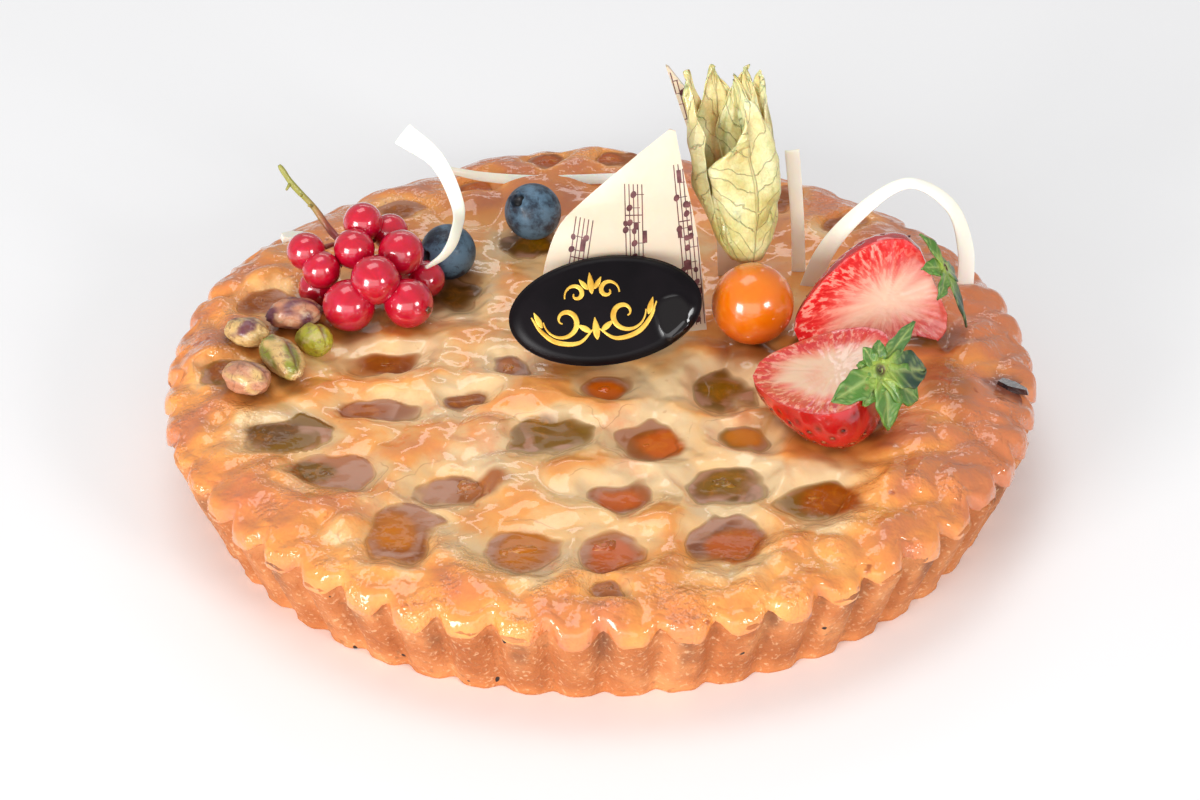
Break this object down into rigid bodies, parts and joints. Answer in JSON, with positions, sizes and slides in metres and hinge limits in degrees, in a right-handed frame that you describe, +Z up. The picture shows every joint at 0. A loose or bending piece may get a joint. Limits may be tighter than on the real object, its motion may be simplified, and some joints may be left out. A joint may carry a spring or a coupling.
{
  "type": "plum flan",
  "caption": "Round fluted plum tart baked in custard, with glazed plum halves, berries, nuts and chocolate pieces on top, without its board.",
  "frame": {"origin": "centre of the flat underside of the pastry case, on the surface that the flan stands on", "axes": "+Z up, -Y towards the front of the picture, +X to the right"},
  "size_m": [0.2182, 0.2182, 0.0905],
  "materials": {
    "short_crust": "baked short-crust pastry, matt and dry on the fluted wall",
    "baked_custard": "baked custard, cream to golden brown, under clear glaze",
    "mirabelle_flesh": "cooked mirabelle halves, amber to olive brown, glazed",
    "currant_skin": "redcurrants, translucent red, glossy",
    "blueberry_skin": "blueberries, blue-grey with pale bloom",
    "physalis_skin": "orange physalis berry, glossy",
    "physalis_paper": "dry papery husk, pale yellow green with veins",
    "strawberry_flesh": "cut strawberry, red skin and pale flesh",
    "strawberry_leaf": "green strawberry leaves",
    "pistachio_skin": "shelled pistachios, tan with purple and green",
    "white_chocolate": "white chocolate, satin, with a printed music pattern on the sail",
    "dark_chocolate": "dark chocolate plaque, glossy, with a plain gold ornament",
    "charred_crumb": "charred bit of pastry"
  },
  "bodies": {
    "root": {"pastry_case": "short_crust", "custard_filling": "baked_custard", "mirabelle_01": "mirabelle_flesh", "mirabelle_02": "mirabelle_flesh", "mirabelle_03": "mirabelle_flesh", "mirabelle_04": "mirabelle_flesh", "mirabelle_05": "mirabelle_flesh", "mirabelle_06": "mirabelle_flesh", "mirabelle_07": "mirabelle_flesh", "mirabelle_08": "mirabelle_flesh", "mirabelle_09": "mirabelle_flesh", "mirabelle_10": "mirabelle_flesh", "mirabelle_11": "mirabelle_flesh", "mirabelle_12": "mirabelle_flesh", "mirabelle_13": "mirabelle_flesh", "mirabelle_14": "mirabelle_flesh", "mirabelle_15": "mirabelle_flesh", "mirabelle_16": "mirabelle_flesh", "mirabelle_17": "mirabelle_flesh", "mirabelle_18": "mirabelle_flesh", "mirabelle_19": "mirabelle_flesh", "mirabelle_20": "mirabelle_flesh", "mirabelle_21": "mirabelle_flesh", "mirabelle_22": "mirabelle_flesh", "mirabelle_23": "mirabelle_flesh", "mirabelle_24": "mirabelle_flesh", "mirabelle_25": "mirabelle_flesh", "mirabelle_26": "mirabelle_flesh", "mirabelle_27": "mirabelle_flesh", "mirabelle_28": "mirabelle_flesh", "mirabelle_29": "mirabelle_flesh", "mirabelle_30": "mirabelle_flesh", "mirabelle_31": "mirabelle_flesh", "currant_truss": "currant_skin", "blueberry_back": "blueberry_skin", "blueberry_left": "blueberry_skin", "physalis_berry": "physalis_skin", "physalis_husk": "physalis_paper", "strawberry_half_back": "strawberry_flesh", "strawberry_half_front": "strawberry_flesh", "strawberry_calyx_back": "strawberry_leaf", "strawberry_calyx_front": "strawberry_leaf", "pistachio_1": "pistachio_skin", "pistachio_2": "pistachio_skin", "pistachio_3": "pistachio_skin", "pistachio_4": "pistachio_skin", "pistachio_5": "pistachio_skin", "chocolate_fan": "white_chocolate", "chocolate_shard": "white_chocolate", "chocolate_plaque": "dark_chocolate", "curl_left": "white_chocolate", "curl_back": "white_chocolate", "curl_right": "white_chocolate", "curl_upright": "white_chocolate", "white_chip": "white_chocolate", "charred_bit": "charred_crumb"}
  },
  "joints": []
}
